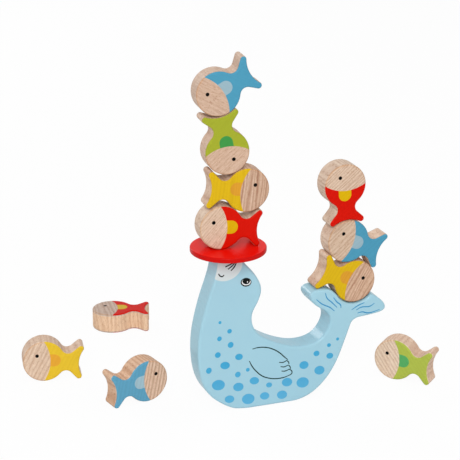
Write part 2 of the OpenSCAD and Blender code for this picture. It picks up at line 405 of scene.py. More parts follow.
@dataclass(frozen=True)
class Beech:
    """Sanded beech: dark lines between pale layers, with fine threads and short dark flecks along them.

    Attributes:
        line_tint: Tint of the lines.
        band_tint: Tint of the broad streaks and of the threads.
        edge_tint: Tint along the rounded edges.
        fleck_tint: Tint of the flecks.
        drift: Slow bends of the layers.
        pinch: Changes in the distance from line to line.
        whole: Places where the lines don't fade.
        bands: Broad streaks.
        threads: Fine threads.
        flecks: Short dark flecks.
        wander: How far the layers bend, in lines.
        least_wander: Share of the bends that grain keeps when it isn't broken at all.
        uneven: How far the lines move together or apart, in lines.
        line_limit: How far out from the middle of a layer a line starts, up to 1.
        line_soft: Width of the line's edge, in the same unit.
        layer_step: Step from layer to layer in the noise that makes some lines faint.
        layer_limit: That noise at the middle of the change from a faint line to a full one.
        layer_soft: Width of that change.
        thread_depth: How dark the threads are, up to 1.
        fleck_depth: How dark the flecks are, up to 1.
        wall_lines: Strength of the lines on the sawn walls beside those on the flat faces.
        roughness: Roughness of the bare wood.
        gloss: Strength of its reflection.
        relief: Depth of the lines, in millimetres.
    """

    line_tint: Tone = Tone(170, 118, 88)
    band_tint: Tone = Tone(226, 212, 200)
    edge_tint: Tone = Tone(248, 226, 205)
    fleck_tint: Tone = Tone(196, 160, 136)
    drift: Figure = Figure((0.045, 0.014, 0.02))
    pinch: Figure = Figure((0.19, 0.008, 0.012), detail=0.0)
    whole: Figure = Figure((0.6, 0.07, 0.12), detail=3.0, roughness=0.6, limit=0.47, soft=0.35)
    bands: Figure = Figure((0.16, 0.02, 0.03), detail=3.0, roughness=0.6)
    threads: Figure = Figure((0.9, 0.2, 0.25), roughness=0.6)
    flecks: Figure = Figure((1.6, 0.55, 0.4), detail=1.0, limit=0.66, soft=0.06)
    wander: float = 4.0
    least_wander: float = 0.25
    uneven: float = 4.8
    line_limit: float = 0.6
    line_soft: float = 0.7
    layer_step: float = 0.73
    layer_limit: float = 0.45
    layer_soft: float = 0.5
    thread_depth: float = 0.5
    fleck_depth: float = 0.5
    wall_lines: float = 0.8
    roughness: float = 0.55
    gloss: float = 0.06
    relief: float = 0.04

    def lines(self, graph: Graph, place: bpy.types.NodeSocket, grain: Grain) -> Value:
        """Return the dark lines between the layers, from 0 on the pale wood to 1 on a line.

        Args:
            graph: The material under construction.
            place: Place in millimetres: across the layers, along the lines and through the board.
            grain: How the grain lies in the board.

        Returns:
            The lines.
        """
        across, _, _ = graph.split(place)
        drift = self.drift.noise(graph, place) * (self.wander * (self.least_wander + grain.broken))
        uneven = self.pinch.noise(graph, place) * (self.uneven * grain.broken)
        depth = across / grain.pitch + drift + uneven
        share = graph.maths("FRACT", depth)
        line = (1 - abs(share * 2 - 1)).past(self.line_limit, self.line_soft)
        full = graph.layers((depth - share) * self.layer_step).past(self.layer_limit, self.layer_soft)
        whole = self.whole.mask(graph, place)
        kept = 1 - grain.broken
        return line * (full * grain.broken + kept) * (whole * grain.broken + kept) * grain.strength

    def colour(
        self, graph: Graph, place: bpy.types.NodeSocket, lines: Value, grain: Grain, face: Number = 1.0
    ) -> bpy.types.NodeSocket:
        """Return the colour of the wood.

        Args:
            graph: The material under construction.
            place: The same place that the lines were made from.
            lines: The lines.
            grain: How the grain lies in the board.
            face: Mask of the flat faces.

        Returns:
            The colour.
        """
        # Walls and faces take each board's own tones, which hold painted light and shade as well as the
        # wood's tone.
        wood = graph.mix(face, grain.wall, grain.ground)
        tints = [
            (self.bands.mask(graph, place) * grain.streaks, self.band_tint),
            (lines, self.line_tint),
            (self.threads.mask(graph, place) * self.thread_depth, self.band_tint),
            (self.flecks.mask(graph, place) * self.fleck_depth, self.fleck_tint),
        ]
        for share, tint in tints:
            wood = graph.mix(share, wood, tint, "MULTIPLY")
        return wood


@dataclass(frozen=True)
class FishPaint:
    """The paint of one fish: the colour of its body and of the spot behind its gill, and its slot's name."""

    body: Tone
    spot: Tone
    slot: str


class Catch(Enum):
    """The colours of the fish's paint; the paler copies for the fish beside the seal are the same paints
    with painted light and sheen.
    """

    RED = FishPaint(Tone(206, 18, 2), Tone(212, 171, 8), "paint_red")
    YELLOW = FishPaint(Tone(212, 174, 24), Tone(212, 152, 46), "paint_yellow")
    GREEN = FishPaint(Tone(157, 165, 46), Tone(62, 144, 70), "paint_green")
    BLUE = FishPaint(Tone(75, 148, 177), Tone(146, 174, 185), "paint_blue")
    # Paler copies of the same four paints, for the fish beside the seal: painted light and sheen.
    LIT_RED = FishPaint(Tone(205, 22, 8), Tone(208, 174, 48), "paint_red")
    LIT_YELLOW = FishPaint(Tone(228, 191, 50), Tone(227, 165, 54), "paint_yellow")
    LIT_GREEN = FishPaint(Tone(172, 185, 76), Tone(86, 167, 97), "paint_green")
    LIT_BLUE = FishPaint(Tone(95, 160, 189), Tone(160, 189, 200), "paint_blue")


@dataclass(frozen=True)
class FishPrint:
    """Layout of the print on a fish, in millimetres: to the nose and to the back from the body's middle.

    Attributes:
        eye: Middle of the eye.
        eye_r: Radius of the eye.
        gill: Middle of the curve of the gill.
        gill_r: Radius of that curve.
        spot: Middle of the round end of the spot.
        spot_r: Radius of that end.
        edge_r: Radius of the board's rounded edges.
        edge_wrap: How far the print reaches down over them.
        wrap_soft: Width of the print's edge there.
        face_soft: Width of the change from a flat face to a wall.
        edge_line: Half the width of the warmer, darker line along the rounded edges, where the bare wood has
            its edge tint.
        edge_line_at: How far below the face that line lies, as a share of the edges' radius.
        edge_line_soft: Width of that line's own edges.
        soft: Width of the printed outlines' edges.
        ink: Colour of the eye.
        roughness: Roughness of the paint.
    """

    eye: Point = (7.0, 4.8)
    eye_r: float = 1.6
    gill: Point = (27.8, -2.1)
    gill_r: float = 32.9
    spot: Point = (-8.3, 1.2)
    spot_r: float = 5.7
    edge_r: float = 1.7
    edge_wrap: float = 0.9
    wrap_soft: float = 0.2
    face_soft: float = 0.6
    edge_line: float = 0.5
    edge_line_at: float = 1 / 3
    edge_line_soft: float = 0.6
    soft: float = 0.12
    ink: Tone = Tone(4, 3, 3)
    roughness: float = 0.42

    def masks(
        self, graph: Graph, local: bpy.types.NodeSocket, half: float, slip: Point
    ) -> dict[str, Value]:
        """Work out where each colour of the print lies.

        Args:
            graph: The material under construction.
            local: Place in the fish's own axes, in millimetres.
            half: Half the thickness of the board, in millimetres.
            slip: How far the print has slipped to the nose and to the back, in millimetres.

        Returns:
            Masks of the flat face, its rounded edge, the painted part, the spot and the eye.
        """
        nose, back, depth = graph.split(local)
        nose, back = nose - slip[0], back - slip[1]
        printed = abs(depth).past(half - self.edge_wrap, self.wrap_soft)
        from_gill = graph.distance(nose - self.gill[0], back - self.gill[1])
        from_edge_line = abs(abs(depth) - (half - self.edge_r * self.edge_line_at))
        from_spot = graph.distance((nose - self.spot[0]).lower_of(0.0), back - self.spot[1])
        from_eye = graph.distance(nose - self.eye[0], back - self.eye[1])
        return {
            "face": abs(depth).past(half - self.edge_r, self.face_soft),
            "edge": 1 - from_edge_line.past(self.edge_line, self.edge_line_soft),
            "paint": printed * from_gill.past(self.gill_r, self.soft),
            "spot": 1 - from_spot.past(self.spot_r, self.soft),
            "eye": printed * (1 - from_eye.past(self.eye_r, self.soft)),
        }


@dataclass(frozen=True)
class Lacquer:
    """A coloured lacquer or ink over wood: faintly uneven in colour, with a slight orange peel.

    Attributes:
        name: Name of its material.
        tone: Its colour.
        shade: The colour that it has in lumps.
        lump: Size of a lump, in millimetres.
        roughness: Its roughness where it is smoothest.
        uneven: How much rougher it is elsewhere.
        gloss: Strength of its own reflection.
        coat: Strength of a clear coat on top.
        coat_roughness: Roughness of that coat.
        peel: Depth of the orange peel, in millimetres.
        peel_lump: Size of a lump of it, in millimetres.
        pale: The colour that it turns to further down, if it does.
        pale_height: Height at the middle of the change, in millimetres.
        pale_run: Height from the start to the end of the change, in millimetres.
    """

    name: str
    tone: Tone
    shade: Tone
    lump: float = 3.0
    roughness: float = 0.4
    uneven: float = 0.08
    gloss: float = 0.08
    coat: float = 0.0
    coat_roughness: float = 0.1
    peel: float = 0.006
    peel_lump: float = 0.9
    pale: Tone | None = None
    pale_height: float = 26.0
    pale_run: float = 40.0

    def start(self) -> tuple[Graph, bpy.types.NodeSocket]:
        """Return a new graph and the lacquer's colour in it."""
        graph = Graph.of_material(self.name)
        lumps = graph.noise(graph.place_in(self.lump), detail=3.0)
        colour = graph.mix(lumps, self.tone, self.shade)
        if self.pale:
            _, _, height = graph.split(graph.place_in(1.0))
            colour = graph.mix(height.past(self.pale_height, self.pale_run), self.pale, colour)
        return graph, colour

    def close(
        self, graph: Graph, colour: bpy.types.NodeSocket, relief: Number = 0.0
    ) -> bpy.types.Material:
        """Finish a graph that this lacquer started.

        Args:
            graph: The graph.
            colour: The colour of the surface.
            relief: Relief of the wood below, in millimetres.

        Returns:
            The finished material.
        """
        fine = graph.noise(graph.place_in(self.peel_lump), detail=1.0)
        return graph.finish({
            "Base Color": colour,
            "Roughness": self.roughness + fine * self.uneven,
            "Specular IOR Level": self.gloss,
            "Coat Weight": self.coat,
            "Coat Roughness": self.coat_roughness,
            "Normal": graph.bump(fine * self.peel + relief, depth=1.0),
        })

    def material(self) -> bpy.types.Material:
        """Return the plain lacquer as a material."""
        graph, colour = self.start()
        return self.close(graph, colour)


SEAL_BLUE = Lacquer(
    "seal_lacquer", Tone(156, 198, 214), Tone(160, 201, 215), lump=14.0, gloss=0.04, coat=0.35)
# The disc's lacquer tone is painted lighter than its rim, as painted light falling on the top from above.
DISC_RED = Lacquer(
    "disc_lacquer", Tone(234, 18, 5), Tone(230, 15, 4), lump=14.0, roughness=0.35, gloss=0.04, coat=0.1)
SPOT_INK = Lacquer("spot_ink", Tone(55, 156, 200), Tone(75, 165, 205), pale=Tone(90, 170, 209))
DARK_INK = Lacquer("dark_ink", Tone(8, 12, 12), Tone(18, 24, 24))
LINE_INK = Lacquer("line_ink", Tone(10, 40, 34), Tone(24, 56, 50))
TAIL_INK = Lacquer("tail_line_ink", Tone(40, 130, 182), Tone(60, 146, 192))
WHITE_INK = Lacquer("white_ink", Tone(240, 243, 242), Tone(232, 237, 238))


def show_piece(
    bm: bmesh.types.BMesh, name: str, body: str, material: bpy.types.Material
) -> bpy.types.Object:
    """Turn a bmesh into a piece that rides on a body.

    Args:
        bm: The mesh, in the frame's own place; it is freed.
        name: Name of the piece.
        body: CAD body that it moves with.
        material: Its finish.

    Returns:
        The piece, with its object at the origin.
    """
    mesh = bpy.data.meshes.new(name)
    bm.to_mesh(mesh)
    bm.free()
    mesh.polygons.foreach_set("use_smooth", [True] * len(mesh.polygons))
    mesh.set_sharp_from_angle(angle=SHARP_ANGLE)
    mesh.materials.append(material)
    piece = bpy.data.objects.new(name, mesh)
    bpy.context.scene.collection.objects.link(piece)
    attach(piece, body)
    LOG.info("%s: %d faces, rides on %s", name, len(mesh.polygons), body)
    return piece


def even_normals(piece: bpy.types.Object) -> None:
    """Let the large faces of a piece set its normals, so that flat faces shade flat up to their edges."""
    modifier = piece.modifiers.new("even_normals", "WEIGHTED_NORMAL")
    modifier.mode = "FACE_AREA"
    modifier.weight = 80
    modifier.keep_sharp = True


def end_faces(bm: bmesh.types.BMesh, face: Vector) -> set[bmesh.types.BMFace]:
    """Return the faces of a board that lie in its two outermost planes along a direction."""
    heights = [v.co.dot(face) for v in bm.verts]
    ends = (min(heights), max(heights))
    return {
        f for f in bm.faces for end in ends
        if all(abs(v.co.dot(face) - end) < SAME_PLANE for v in f.verts)
    }


def tight_edges(polygon: bmesh.types.BMFace, radius: float) -> set[bmesh.types.BMEdge]:
    """Return the edges at those corners of a face that turn more tightly than a radius in metres."""
    found = set()
    for loop in polygon.loops:
        both = (loop.edge, loop.link_loop_prev.edge)
        length = sum(edge.calc_length() for edge in both) / 2
        if loop.is_convex and length < radius * (math.pi - loop.calc_angle()):
            found.update(both)
    return found


def round_edges(bm: bmesh.types.BMesh, edges: list[bmesh.types.BMEdge], radius: float) -> None:
    """Round some edges of a mesh, by a radius in millimetres."""
    bmesh.ops.bevel(
        bm, geom=edges, offset=radius * MM, offset_type="OFFSET", segments=ROUND_STEPS, profile=0.5,
        affect="EDGES", clamp_overlap=False, material=-1,
    )


def rounded_board(node: str, face: Vector, radius: float) -> bmesh.types.BMesh:
    """Copy the solid of a flat board and round the edges of its two faces.

    Each face is made one polygon first, and a corner that is tighter than the rounding is drawn together
    to one point, so that the rounded edge doesn't fold over itself.

    Args:
        node: CAD node of the board.
        face: Direction that the faces look in.
        radius: Radius of the rounded edges, in millimetres.

    Returns:
        The rounded board.
    """
    bm = bmesh.new()
    bm.from_mesh(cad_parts[node].data)
    bmesh.ops.remove_doubles(bm, verts=bm.verts, dist=WELD)
    bmesh.ops.dissolve_limit(bm, angle_limit=FLAT_ANGLE, verts=bm.verts, edges=bm.edges)
    bmesh.ops.dissolve_faces(bm, faces=list(end_faces(bm, face)))
    tight = set().union(*(tight_edges(f, radius * MM) for f in end_faces(bm, face)))
    bmesh.ops.collapse(bm, edges=list(tight))
    flat = end_faces(bm, face)
    round_edges(bm, [e for e in bm.edges if sum(f in flat for f in e.link_faces) == 1], radius)
    return bm


def turned(profile: Iterable[Point], axis: Vector, steps: int) -> bmesh.types.BMesh:
    """Turn a profile round an upright axis.

    Args:
        profile: Corners as (radius, height) in metres, from the axis round to the axis.
        axis: A point on the axis.
        steps: Number of steps round.

    Returns:
        The closed turned shape.
    """
    bm = bmesh.new()
    corners = [bm.verts.new((axis.x + radius, axis.y, height)) for radius, height in profile]
    edges = [bm.edges.new(pair) for pair in zip(corners, corners[1:])]
    bmesh.ops.spin(
        bm, geom=corners + edges, cent=axis, axis=(0, 0, 1), angle=2 * math.pi, steps=steps,
        use_merge=True,
    )
    bmesh.ops.remove_doubles(bm, verts=bm.verts, dist=WELD)
    bmesh.ops.recalc_face_normals(bm, faces=bm.faces)
    return bm


@dataclass(frozen=True)
class FishPlace:
    """Where a fish is: the middle of its round body and its own axes, read from its solid."""

    middle: Vector
    nose: Vector
    back: Vector
    face: Vector
    half: float

    @classmethod
    def of_node(cls, node: str, facing: Facing) -> "FishPlace":
        """Read the place from the corners of a solid.

        The board is thinnest through its faces and longest from nose to tail, so these are the main axes
        of its corners. The nose is the end whose furthest corner lies on the long axis.

        Args:
            node: CAD node of the fish.
            facing: Side to which its nose points.

        Returns:
            The place.
        """
        corners = [vertex.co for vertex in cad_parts[node].data.vertices]
        points = np.unique(np.round(np.array(corners, float), 6), axis=0)
        mean = points.mean(0)
        _, axes = np.linalg.eigh((points - mean).T @ (points - mean))
        depth, height, length = ((points - mean) @ axes).T
        sign = 1 if abs(height[length.argmax()]) < abs(height[length.argmin()]) else -1
        nose = Vector(axes[:, 2]) * sign
        face = Vector(axes[:, 0])
        if face.dot(TOWARDS_VIEWER) < 0:
            face.negate()
        body_r = abs(height).max()
        return cls(
            middle=Vector(mean) + nose * float((length * sign).max() - body_r),
            nose=nose,
            back=face.cross(nose) * facing.value,
            face=face,
            half=float(abs(depth).max()) / MM,
        )

    def axes(self) -> Matrix:
        """Return the fish's axes as the columns of a matrix: nose, back and through the board."""
        through = self.nose.cross(self.back)
        turn = Matrix((self.nose, self.back, through)).transposed()
        return Matrix.Translation(self.middle) @ turn.to_4x4()


@dataclass
class Fish:
    """One fish: a beech board cut to the outline of a fish and printed on both faces.

    Attributes:
        node: Its CAD node, and the body of the same name.
        facing: Side to which its nose points.
        colours: Its paint.
        grain: How its grain lies.
        slip: How far its print has slipped to the nose and to the back, in millimetres.
        apart: How much further apart the fish were cut from the wood than they now stand.
        shown: Share of the grain's lines that shows through the paint.
        filled: Share of their relief that the paint fills.
        wood: Its wood.
        layout: Layout of its print.
    """

    node: str
    facing: Facing
    colours: Catch
    grain: Grain
    slip: Point = (0.0, 0.0)
    apart: float = 3.0
    shown: float = 0.2
    filled: float = 0.6
    wood: Beech = Beech()
    layout: FishPrint = FishPrint()

    def make(self) -> bpy.types.Object:
        """Build the fish and dress it.

        Returns:
            The piece that stands for the fish's solid.
        """
        place = FishPlace.of_node(self.node, self.facing)
        board = rounded_board(self.node, place.face, self.layout.edge_r)
        piece = show_piece(board, self.node + "_board", self.node, self.finish(place))
        even_normals(piece)
        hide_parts(self.node)
        return piece

    def finish(self, place: FishPlace) -> bpy.types.Material:
        """Return the finish of the fish: beech, with paint behind the gill, a spot and an eye.

        Args:
            place: Where the fish is.

        Returns:
            The material.
        """
        graph = Graph.of_material(self.node + "_finish")
        local = graph.in_axes(place.axes())
        masks = self.layout.masks(graph, local, place.half, self.slip)
        lean = math.radians(self.grain.lean)
        plank = graph.node(
            "ShaderNodeMapping", {"vector_type": "TEXTURE"},
            {"Vector": local, "Location": place.middle * self.apart / MM, "Rotation": (0.0, 0.0, lean)},
        ).outputs[0]
        strength = masks["face"] * (1 - self.wood.wall_lines) + self.wood.wall_lines
        lines = self.wood.lines(graph, plank, self.grain) * strength
        wood = self.wood.colour(graph, plank, lines, self.grain, masks["face"])
        # A warmer, darker line along the rounded edges of the bare wood.
        wood = graph.mix(masks["edge"], wood, self.wood.edge_tint, "MULTIPLY")
        paint = graph.mix(masks["spot"], self.colours.value.body, self.colours.value.spot)
        paint = graph.mix(lines * self.shown, paint, self.wood.line_tint, "MULTIPLY")
        colour = graph.mix(masks["eye"], graph.mix(masks["paint"], wood, paint), self.layout.ink)
        shine = self.layout.roughness - self.wood.roughness
        return graph.finish({
            "Base Color": colour,
            "Roughness": masks["paint"] * shine + self.wood.roughness,
            "Specular IOR Level": self.wood.gloss,
            "Normal": graph.bump(lines * (masks["paint"] * self.filled - 1), self.wood.relief),
        })


@dataclass
class SealBoard:
    """The seal: one lacquered board with rounded edges and a pale muzzle, with sizes in millimetres.

    Attributes:
        node: Its CAD node.
        body: Its body.
        edge_r: Radius of its rounded edges.
        muzzle: Middle of the muzzle's oval, across and up.
        muzzle_half: Half the width and half the height of that oval.
        muzzle_soft: Width of the oval's edge, as a share of its size.
        muzzle_wrap: How far the muzzle reaches down over the rounded edge.
        wrap_soft: Width of its edge there.
        muzzle_tone: Colour of the muzzle.
        saw_pitch: Distance from one saw mark to the next.
        saw_run: Length of a saw mark through the board.
        saw_depth: Depth of the deepest saw marks.
        lacquer: Its lacquer.
    """

    node: str = "seal_body"
    body: str = "seal"
    edge_r: float = 2.2
    muzzle: Point = (-41.3, 132.8)
    muzzle_half: Point = (15.2, 14.0)
    muzzle_soft: float = 0.03
    muzzle_wrap: float = 1.2
    wrap_soft: float = 0.3
    muzzle_tone: Tone = Tone(204, 214, 215)
    saw_pitch: float = 3.0
    saw_run: float = 60.0
    saw_depth: float = 0.8
    lacquer: Lacquer = SEAL_BLUE

    def make(self) -> bpy.types.Object:
        """Build the seal's board and dress it.

        Returns:
            The piece that stands for the seal's solid.
        """
        board = rounded_board(self.node, Vector((0, 1, 0)), self.edge_r)
        piece = show_piece(board, "seal_board", self.body, self.finish())
        even_normals(piece)
        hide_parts(self.node)
        return piece

    def finish(self) -> bpy.types.Material:
        """Return the lacquer, with the muzzle on both faces and faint saw marks across the walls."""
        graph, colour = self.lacquer.start()
        across, through, height = graph.split(graph.place_in(1.0))
        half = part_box(self.node)[1].y / MM
        from_middle = graph.distance(
            (across - self.muzzle[0]) / self.muzzle_half[0],
            (height - self.muzzle[1]) / self.muzzle_half[1],
        )
        oval = 1 - from_middle.past(1.0, self.muzzle_soft)
        muzzle = oval * abs(through).past(half - self.muzzle_wrap, self.wrap_soft)
        wall = 1 - abs(through).past(half - self.edge_r, self.edge_r)
        pitch = 1 / (self.saw_pitch * MM)
        marks = graph.stretched(graph.place, (pitch, 1 / (self.saw_run * MM), pitch))
        ridges = (graph.noise(marks, detail=1.0) - 0.5) * self.saw_depth
        return self.lacquer.close(graph, graph.mix(muzzle, colour, self.muzzle_tone), ridges * wall)


@dataclass(frozen=True)
class Stroke:
    """A drawn line on the seal's face, in millimetres.

    Attributes:
        points: The places that it runs through, across and up.
        width: Its width.
        tip: Share of the width that is left at its ends.
    """

    points: Sequence[Point]
    width: float
    tip: float


@dataclass(frozen=True)
class Dot:
    """An oval of ink on the seal's face, in millimetres.

    Attributes:
        middle: Its middle, across and up.
        wide: Its width before it is turned.
        high: Its height before it is turned.
        tilt: Angle that it is turned by, in degrees.
        steps: Number of corners round it.
    """

    middle: Point
    wide: float
    high: float
    tilt: float = 13.0
    steps: int = 48


@dataclass
class Film:
    """A thin film of one ink on one face of the seal.

    Attributes:
        name: Name of its piece, before the name of the face.
        ink: Its ink.
        marks: The dots and strokes that it consists of.
        thick: How far it stands out from the face, in millimetres.
    """

    name: str
    ink: Lacquer
    marks: Sequence[Dot | Stroke]
    thick: float = 0.03

    def make(self, side: Side, half: float, body: str) -> bpy.types.Object:
        """Lay the film on a face.

        Args:
            side: The face.
            half: Half the thickness of the seal's board, in millimetres.
            body: CAD body that carries it.

        Returns:
            The film.
        """
        bm = bmesh.new()
        for mark in self.marks:
            if isinstance(mark, Dot):
                self._lay_dot(bm, mark)
            else:
                self._lay_stroke(bm, mark)
        on_face = Matrix.Translation((0, side.value * half * MM, 0))
        outward = Matrix.Diagonal((1, side.value, 1, 1))
        bmesh.ops.transform(bm, matrix=on_face @ outward, verts=bm.verts)
        bmesh.ops.recalc_face_normals(bm, faces=bm.faces)
        return show_piece(bm, f"{self.name}_{side.name.lower()}", body, self.ink.material())

    def _lay_dot(self, bm: bmesh.types.BMesh, dot: Dot) -> None:
        """Add a dot as a low disc on the plane of the face, rising along +Y."""
        spot = Matrix.Translation((dot.middle[0] * MM, 0, dot.middle[1] * MM))
        tilted = Matrix.Rotation(math.radians(dot.tilt), 4, "Y")
        upright = Matrix.Rotation(math.radians(90), 4, "X")
        oval = Matrix.Diagonal((dot.wide * MM, dot.high * MM, 1, 1))
        place = spot @ (tilted @ upright) @ oval
        ring = bmesh.ops.create_circle(bm, cap_ends=True, segments=dot.steps, radius=0.5, matrix=place)
        face = ring["verts"][0].link_faces[0]
        raised = bmesh.ops.extrude_face_region(bm, geom=[face], use_keep_orig=True)["geom"]
        top = [v for v in raised if isinstance(v, bmesh.types.BMVert)]
        bmesh.ops.translate(bm, verts=top, vec=(0, self.thick * MM, 0))

    def _lay_stroke(self, bm: bmesh.types.BMesh, stroke: Stroke) -> None:
        """Add a stroke as a flattened tube along a smooth curve on the plane of the face."""
        curve = bpy.data.curves.new("stroke", "CURVE")
        curve.dimensions = "3D"
        curve.bevel_depth = stroke.width / 2 * MM
        curve.bevel_resolution = 2
        curve.resolution_u = 8
        curve.use_fill_caps = True
        spline = curve.splines.new("BEZIER")
        spline.bezier_points.add(len(stroke.points) - 1)
        last = len(stroke.points) - 1
        for i, (point, place) in enumerate(zip(spline.bezier_points, stroke.points)):
            point.co = (place[0] * MM, 0, place[1] * MM)
            point.handle_left_type = point.handle_right_type = "AUTO"
            point.radius = stroke.tip if i in (0, last) else 1.0
        drawn = bpy.data.objects.new("stroke", curve)
        bpy.context.scene.collection.objects.link(drawn)
        graph = bpy.context.evaluated_depsgraph_get()
        mesh = bpy.data.meshes.new_from_object(drawn.evaluated_get(graph))
        mesh.transform(Matrix.Diagonal((1, 2 * self.thick / stroke.width, 1, 1)))
        bm.from_mesh(mesh)
        bpy.data.objects.remove(drawn)
        bpy.data.curves.remove(curve)
        bpy.data.meshes.remove(mesh)


@dataclass
class SealPrint:
    """The print on the seal: belly spots, an eye, a mouth, whiskers, a flipper and lines in the tail."""

    node: str = "seal_body"
    body: str = "seal"
    eye: Point = (-22.8, 115.5)

    def make(self) -> list[bpy.types.Object]:
        """Lay every film on both faces.

        Returns:
            The films.
        """
        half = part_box(self.node)[1].y / MM
        return [film.make(side, half, self.body) for film in self.films() for side in Side]

    def films(self) -> list[Film]:
        """Return the films from the lowest up."""
        return [
            Film("belly_spots", SPOT_INK, self.spots()),
            Film("flipper_lines", LINE_INK, self.flipper()),
            Film("tail_lines", TAIL_INK, self.tail()),
            Film("mouth_and_whiskers", DARK_INK, self.mouth() + self.whiskers()),
            Film("eye_rim", DARK_INK, [self._in_eye((0.0, -0.2), wide=9.7, high=7.7)]),
            Film("eye_white", WHITE_INK, [self._in_eye((0.1, 0.05), wide=7.9, high=5.9)], thick=0.05),
            Film("eye_iris", DARK_INK, [self._in_eye((0.12, 0.7), wide=6.8, high=5.4)], thick=0.07),
            Film("eye_glint", WHITE_INK, [self._in_eye((1.2, -0.05), wide=0.85, high=1.4)], thick=0.09),
        ]

    def _in_eye(self, offset: Point, wide: float, high: float) -> Dot:
        """Return a dot at an offset from the middle of the eye."""
        return Dot((self.eye[0] + offset[0], self.eye[1] + offset[1]), wide, high)

    @staticmethod
    def spots() -> list[Dot]:
        """Return the spots, from the chest along the belly to the tail."""
        return [
            Dot((-46.0, 82.5), 2.7, 2.7), Dot((-37.5, 73.5), 4.1, 4.1), Dot((-46.5, 68.0), 4.1, 4.3),
            Dot((-36.5, 61.0), 5.2, 5.3), Dot((-48.0, 53.5), 5.2, 5.1), Dot((-29.0, 49.0), 6.9, 5.7),
            Dot((-41.5, 43.0), 8.6, 6.7), Dot((-56.0, 40.5), 5.0, 5.5), Dot((-30.0, 33.0), 5.1, 5.1),
            Dot((-21.0, 36.0), 3.4, 3.5), Dot((-47.5, 26.0), 11.7, 9.4), Dot((-29.5, 21.5), 9.4, 7.7),
            Dot((-15.0, 25.0), 8.6, 6.7), Dot((-1.5, 19.0), 5.5, 4.6), Dot((-37.5, 11.5), 8.7, 6.8),
            Dot((-20.5, 9.0), 11.5, 9.5), Dot((-5.5, 9.5), 8.6, 6.7), Dot((10.5, 8.0), 9.4, 7.7),
            Dot((15.0, 19.0), 9.6, 7.8), Dot((29.5, 16.5), 11.5, 9.5), Dot((30.5, 32.5), 8.5, 7.2),
            Dot((45.0, 25.5), 9.5, 8.0), Dot((42.0, 41.5), 5.6, 5.0), Dot((54.5, 37.5), 6.4, 5.4),
            Dot((53.5, 47.5), 3.6, 3.5), Dot((61.5, 52.0), 2.8, 2.8),
        ]

    @staticmethod
    def flipper() -> list[Stroke]:
        """Return the outline of the flipper, open at the shoulder, with its toes."""
        outline = [
            [(-16.8, 54.3), (-11.8, 54.9), (-5.4, 54.2), (1.0, 51.9), (8.3, 46.9), (12.0, 43.1),
             (15.5, 39.8)],
            [(-19.6, 43.8), (-17.2, 38.8), (-13.5, 33.7), (-8.0, 28.4), (-2.5, 25.6), (3.9, 24.0),
             (11.3, 23.8), (16.8, 25.0)],
        ]
        toes = [
            [(14.2, 39.3), (16.0, 37.8), (16.7, 35.5)],
            [(16.1, 34.7), (17.6, 33.0), (18.1, 30.8)],
            [(17.0, 30.8), (19.4, 28.4), (19.2, 26.4), (16.8, 25.0)],
            [(7.5, 38.5), (11.2, 37.9), (14.4, 39.1)],
            [(8.9, 34.4), (12.1, 33.6), (15.8, 34.7)],
            [(9.8, 30.1), (13.1, 29.6), (17.2, 30.8)],
        ]
        strokes = [Stroke(line, width=1.0, tip=0.7) for line in outline]
        return strokes + [Stroke(toe, width=0.95, tip=0.8) for toe in toes]

    @staticmethod
    def tail() -> list[Stroke]:
        """Return the wavy lines in the two lobes of the tail."""
        lines = [
            [(41.2, 91.0), (46.4, 86.2), (53.9, 82.0), (58.1, 78.2)],
            [(49.3, 95.8), (50.9, 91.0), (55.6, 86.3), (60.4, 81.1)],
            [(56.9, 90.7), (60.3, 86.1), (63.6, 82.9), (64.1, 80.1)],
            [(74.0, 77.0), (80.0, 80.2), (86.0, 82.1)],
            [(78.3, 76.2), (82.9, 78.2), (91.3, 78.1), (95.5, 80.3)],
            [(79.7, 73.3), (83.9, 73.8), (89.6, 72.1), (100.4, 73.7)],
        ]
        return [Stroke(line, width=1.0, tip=0.6) for line in lines]

    @staticmethod
    def mouth() -> list[Stroke]:
        """Return the smile on the muzzle."""
        smile = [(-47.3, 126.0), (-45.8, 123.9), (-44.0, 123.1), (-42.3, 124.2)]
        return [Stroke(smile, width=1.1, tip=0.9)]

    @staticmethod
    def whiskers() -> list[Stroke]:
        """Return the whiskers, which fan out from under the disc."""
        roots = [(-32.6, 134.6), (-31.4, 136.0), (-30.8, 135.6)]
        bends = [(-37.0, 132.7), (-34.4, 132.0), (-32.9, 130.8)]
        tips = [(-41.3, 131.2), (-38.8, 128.9), (-36.2, 127.2)]
        return [Stroke(points, width=1.2, tip=0.85) for points in zip(roots, bends, tips)]


